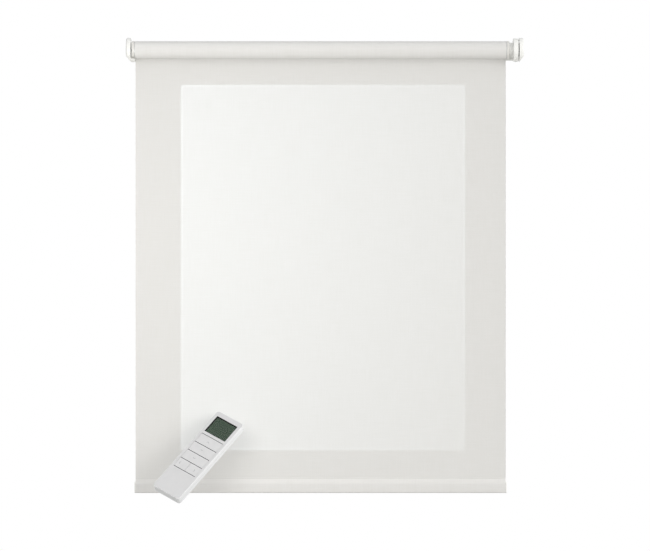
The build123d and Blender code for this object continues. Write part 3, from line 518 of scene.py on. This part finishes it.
finishes = {
    "sparkTexturedAbs": (whiteAbs, ["idle_bracket_cover", "motor_bracket_cover", "motor_head", "hem_cap_left",
                                    "hem_cap_right", "set_button"]),
    "naturalPolypropylene": (naturalPolypropylene, ["idle_plug", "crown_ring"]),
    "powderCoatedSteel": (whiteCoat, ["idle_bracket", "motor_bracket"]),
    "millAluminium": (tubeAluminium, ["roller_tube"]),
    "anodisedAluminium": (barAluminium, ["hem_bar"]),
    "extrudedPvc": (splinePvc, ["fabric_spline"]),
    "zincPlatedSteel": (platedSteel, ["idle_pin", "output_shaft", "drive_wheel_screw", "motor_lug_screws",
                                      "remote_screws", "remote_coin_cell", "drive_motor", "remote_switches"]),
    "springSteel": (springSteel, ["motor_lock_clip"]),
    "rolledSteelTube": (casingSteel, ["motor_casing"]),
    "glassFilledNylon": (greyNylon, ["drive_wheel", "gearbox", "motor_fixing_lug"]),
    "mouldedBlackAbs": (blackAbs, ["charge_socket", "remote_cell_holder"]),
    "mouldedRubber": (blackRubber, ["remote_window_gasket"]),
    "shrunkSleeve": (shrunkSleeve, ["battery_cells"]),
    "milkyAcrylic": (milkyAcrylic, ["status_light"]),
    "sprayedAbsFace": (sprayedFace, ["remote_face_plate"]),
    "sprayedAbsKeys": (sprayedKeys, ["key_up", "key_stop", "key_down", "key_previous", "key_next"]),
    "glossMouldedAbs": (glossAbs, ["remote_rear_shell", "remote_cell_door", "pairing_button"]),
    "glossAbsWithGreyLip": (lippedAbs, ["remote_front_shell"]),
    "siliconeRubber": (siliconeMat, ["remote_keypad"]),
    "nickelFlashedBrass": (flashedBrass, ["remote_contacts"]),
}


def dressNodes():
    # puts each material on the nodes it belongs to, and gives all of them back by name
    made = {name: (finishOf(name, look), nodes) for name, (look, nodes) in finishes.items()}
    made["glassEpoxyBoard"] = (glassEpoxyBoard(), ["control_board", "remote_circuit_board"])
    made["liquidCrystal"] = (liquidCrystal(), ["remote_display"])
    made["clearPolycarbonate"] = (clearPolycarbonate(), ["remote_window"])
    for material, nodes in made.values():
        for name in nodes:
            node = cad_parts[name]
            node.data.materials.clear()
            node.data.materials.append(material)
    print("nodes dressed:", sum(len(nodes) for _, nodes in made.values()))
    return {name: material for name, (material, _) in made.items()}


materials = dressNodes()


def addPiece(name, points, faces, material, body):
    # one mesh object on its body, with its material and slot
    mesh = bpy.data.meshes.new(name)
    mesh.from_pydata(points, [], faces)
    mesh.materials.append(material)
    piece = bpy.data.objects.new(name, mesh)
    scene.collection.objects.link(piece)
    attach(piece, body)
    return piece


def clothPiece(name, rows, material, body):
    # a smooth sheet of quads from rows of (point, uv)
    wide = len(rows[0])
    points = [place for row in rows for place, _ in row]
    places = [uv for row in rows for _, uv in row]
    faces = [(i * wide + j, i * wide + j + 1, (i + 1) * wide + j + 1, (i + 1) * wide + j)
             for i in range(len(rows) - 1) for j in range(wide - 1)]
    piece = addPiece(name, points, faces, material, body)
    mapped = piece.data.uv_layers.new(name="UVMap")
    for corner in piece.data.loops:
        mapped.data[corner.index].uv = places[corner.vertex_index]
    piece.data.shade_smooth()
    return piece


def spread(low, high, count, lip):
    # even places from low to high, with one more close to each end, at the lip's width from it
    even = [low + (high - low) * i / count for i in range(count + 1)]
    return [low, low + lip] + even[1:-1] + [high - lip, high]


def rounded(line, rounds):
    # cuts the corners of an open line of points, a quarter of the way in, and keeps both ends
    for _ in range(rounds):
        cut = [line[0]]
        for a, b in zip(line, line[1:]):
            cut += [tuple(p * 0.75 + q * 0.25 for p, q in zip(a, b)),
                    tuple(p * 0.25 + q * 0.75 for p, q in zip(a, b))]
        line = cut + [line[-1]]
    return line


rollLow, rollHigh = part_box("fabric_roll")
dropLow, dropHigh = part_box("fabric_drop")
pocketLow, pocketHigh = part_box("hem_pocket")
clothLeft, clothRight = dropLow.x, dropHigh.x
axisY = (rollLow.y + rollHigh.y) / 2
rollRadius = (rollHigh.z - rollLow.z) / 2
dropY = (dropLow.y + dropHigh.y) / 2
clothThick = dropHigh.y - dropLow.y
hemTop = pocketHigh.z
# where the hanging cloth leaves the roll and where it runs into the hem, as height and distance,
# each a little inside the other cloth
bite = {"roll": 0.02 * mm, "hem": 0.5 * mm, "hemBack": 0.2 * mm}
leavesRoll = (0.0, axisY + rollRadius - bite["roll"])
meetsHem = (hemTop - bite["hem"], dropY + bite["hemBack"])

# the roll: the inner turn's edge stands back by endStep, tuck is how far the slope between the two edges
# reaches down and up, and soften takes off the outer edge's corner
roll = {"turns": 2, "around": 128, "along": 90, "inset": 1 * mm, "unevenness": 0.05 * mm,
        "swellAlong": 9, "swellRound": 1.3, "endStep": 0.35 * mm, "tuck": (0.04 * mm, 0.02 * mm),
        "soften": 0.08 * mm}


def woundRoll():
    # two turns of cloth on the tube, each turn's edge a little out of line with the next
    tubeRadius = rollRadius - roll["turns"] * clothThick
    inner = rollRadius - clothThick
    step, inset, soften = roll["endStep"], roll["inset"], roll["soften"]
    low, high = inner - roll["tuck"][0], inner + roll["tuck"][1]
    ends = [(clothLeft + step, tubeRadius), (clothLeft + step, low), (clothLeft, high),
            (clothLeft, rollRadius - soften), (clothLeft + soften, rollRadius)]
    run = [(clothLeft + inset + (clothRight - clothLeft - 2 * inset) * i / roll["along"], rollRadius)
           for i in range(roll["along"] + 1)]
    back = [(clothRight - soften, rollRadius), (clothRight, rollRadius - soften),
            (clothRight, high), (clothRight - step, low), (clothRight - step, tubeRadius)]
    line = ends + run + back
    rows = []
    for i in range(roll["around"] + 1):
        turn = 2 * math.pi * i / roll["around"]
        row = []
        for x, radius in line:
            soft = noise.noise(Vector((x * roll["swellAlong"], math.cos(turn) * roll["swellRound"],
                                       math.sin(turn) * roll["swellRound"])))
            swell = roll["unevenness"] * (soft - 0.5) if radius == rollRadius else 0.0
            near = radius + swell
            row.append(((x, axisY + near * math.cos(turn), near * math.sin(turn)), (x, radius * turn)))
        rows.append(row)
    return clothPiece("blind_cloth_wound", rows, woundCloth, "roller")


# the drop: it is kept straight over one part in seven of its length at each end; a wave is its share, how
# many it makes in a metre across and down, and where it starts
drop = {"across": 110, "down": 130, "thick": 0.36 * mm, "lip": 0.15 * mm, "held": 7,
        "edgeCurl": 0.5 * mm, "edgeWide": 45 * mm, "ripple": 0.45 * mm,
        "waves": [(1.0, 7.0, 3.2, 4.7), (0.4, 19, 8, 1.3)]}


def hangingDrop():
    # hangs from the back of the roll and runs into the fold of the hem, nearly flat
    top, topY = leavesRoll
    bottom, bottomY = meetsHem
    rows = []
    for z in spread(bottom, top, drop["down"], drop["lip"])[::-1]:
        down = (z - top) / (bottom - top)
        held = min(1.0, down * drop["held"]) * min(1.0, (1 - down) * drop["held"])
        held = held * held * (3 - 2 * held)
        row = []
        for x in spread(clothLeft, clothRight, drop["across"], drop["lip"]):
            edge = max(0.0, 1 - min(x - clothLeft, clothRight - x) / drop["edgeWide"]) ** 2
            wave = sum(share * noise.noise(Vector((x * wide, z * tall, start)))
                       for share, wide, tall, start in drop["waves"])
            y = topY + (bottomY - topY) * down + held * (drop["ripple"] * wave - drop["edgeCurl"] * edge)
            row.append(((x, y, z), (x, z)))
        rows.append(row)
    piece = clothPiece("blind_cloth_drop", rows, hangingCloth, "brackets_and_motor")
    rim = piece.modifiers.new("cutEdge", "SOLIDIFY")
    rim.thickness = drop["thick"]
    rim.offset = 1.0
    rim.use_rim_only = True
    return piece


# the hem, in millimetres, with heights from its top: the weld line's edges and depth, where the cloth
# starts to spread over the bar and where it ends, the straight part in front of the bar and the bend below
hem = {"across": 90, "weld": (-1.0, -1.35, -1.95, -2.3), "weldDeep": 0.16, "spreadFrom": (0.2, -3.2),
       "spreadTo": (0.3, -8.4), "fullAt": -10.2, "straight": 4, "bend": 2.3, "bendSteps": 7, "rounds": 2}


def foldedHem():
    # the cloth goes down in front of the bar, round it and up behind, and is welded above it;
    # its line is drawn out from the middle of the drop's thickness
    half = (pocketHigh.y - pocketLow.y) / 2 / mm
    tall = (pocketHigh.z - pocketLow.z) / mm
    ply = clothThick / mm
    deep, bend, steps = hem["weldDeep"], hem["bend"], hem["bendSteps"]
    weld, (out, start), (short, end) = hem["weld"], hem["spreadFrom"], hem["spreadTo"]
    front = [(-ply, 0.0), (-ply, weld[0]), (-ply + deep, weld[1]), (-ply + deep, weld[2]), (-ply, weld[3]),
             (-ply - out, start), (-half + short, end), (-half, hem["fullAt"]),
             (-half, -tall + bend + hem["straight"])]
    under = [(-(half - bend) - bend * math.cos(a), -tall + bend - bend * math.sin(a))
             for a in (math.pi / 2 * k / steps for k in range(steps + 1))]
    side = rounded(front, hem["rounds"]) + under
    loop = side + [(-y, z) for y, z in reversed(side)]
    loop.append(loop[0])
    run, rows, before = 0.0, [], None
    for y, z in loop:
        if before:
            run += math.dist(before, (y, z))
        before = (y, z)
        row = []
        for j in range(hem["across"] + 1):
            x = clothLeft + (clothRight - clothLeft) * j / hem["across"]
            row.append(((x, dropY + y * mm, hemTop + z * mm), (x, hemTop - run * mm)))
        rows.append(row)
    return clothPiece("blind_cloth_hem", rows, woundCloth, "hem")


def makeCloth():
    wound, hanging, folded = woundRoll(), hangingDrop(), foldedHem()
    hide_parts("fabric_roll")
    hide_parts("fabric_drop")
    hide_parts("hem_pocket")
    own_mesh(hanging)


makeCloth()
makePane(leavesRoll, meetsHem)
print("cloth hung and lit")

# the coil behind the idle pin: its turns, the wire's thickness, rings in a turn and sides of the wire
coil = {"turns": 8, "wire": 0.55 * mm, "rings": 28, "sides": 8}


def pinSpring():
    # one round wire wound evenly
    low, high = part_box("idle_spring")
    half = coil["wire"] / 2
    radius = (high.z - low.z) / 2 - half
    count = coil["turns"] * coil["rings"]
    run = high.x - low.x - coil["wire"]
    points = []
    for i in range(count + 1):
        turn = 2 * math.pi * i / coil["rings"]
        out = Vector((0, math.cos(turn), math.sin(turn)))
        way = Vector((run / (2 * math.pi * coil["turns"]), -radius * out.z, radius * out.y)).normalized()
        middle = Vector((low.x + half + run * i / count, axisY, 0)) + out * radius
        for k in range(coil["sides"]):
            a = 2 * math.pi * k / coil["sides"]
            points.append(middle + half * (math.cos(a) * out + math.sin(a) * way.cross(out)))
    n = coil["sides"]
    faces = [(i * n + k, i * n + (k + 1) % n, (i + 1) * n + (k + 1) % n, (i + 1) * n + k)
             for i in range(count) for k in range(n)]
    faces += [tuple(range(n))[::-1], tuple(range(count * n, count * n + n))]
    piece = addPiece("idle_spring_coil", points, faces, materials["springSteel"], "roller")
    piece.data.shade_smooth()
    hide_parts("idle_spring")
    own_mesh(piece)


pinSpring()
print("spring wound")

# symbols on the keys, as lines in millimetres across and along the remote control from its middle
symbols = {
    "key_up": [(-3.2, 24.6), (-1.2, 26.8), (0.8, 24.6)],
    "key_stop": [(-2.6, 9.2), (1.0, 9.2)],
    "key_down": [(-3.4, -7.0), (-1.4, -9.2), (0.6, -7.0)],
    "key_previous": [(-14.2, -24.0), (-16.2, -26.0), (-14.2, -28.0)],
    "key_next": [(11.8, -24.2), (13.8, -26.2), (11.8, -28.2)],
}


def keySymbol(name, line, material):
    # a printed stroke: a low flat ribbon that follows its line on top of the key
    across, along, face = remoteWays["across"], remoteWays["along"], remoteWays["face"]
    half = remote["stroke"] / 2
    line = [Vector(p) for p in rounded(line, remote["strokeRounds"])]
    left, right = [], []
    for i, here in enumerate(line):
        way = (line[min(i + 1, len(line) - 1)] - line[max(i - 1, 0)]).normalized()
        off = Vector((-way.y, way.x)) * half
        left.append(here + off)
        right.append(here - off)
    points = []
    for thick in (0.0, remote["inkThick"]):
        for p in left + right:
            off = across * p.x + along * p.y + face * (remote["faceHeight"] + thick)
            points.append(tuple(Vector(remote["at"]) + off * mm))
    n = len(line)
    faces = []
    for i in range(n - 1):
        a, b, c, d = i, i + 1, n + i + 1, n + i
        faces += [(a, b, c, d), (2 * n + a, 2 * n + d, 2 * n + c, 2 * n + b),
                  (a, 2 * n + a, 2 * n + b, b), (d, c, 2 * n + c, 2 * n + d)]
    faces += [(0, n, 3 * n, 2 * n), (n - 1, 3 * n - 1, 4 * n - 1, 2 * n - 1)]
    addPiece(name + "_symbol", points, faces, material, name)


ink = finishOf("padPrintedInk", printedInk)
for name, line in symbols.items():
    keySymbol(name, line, ink)
print("symbols printed")
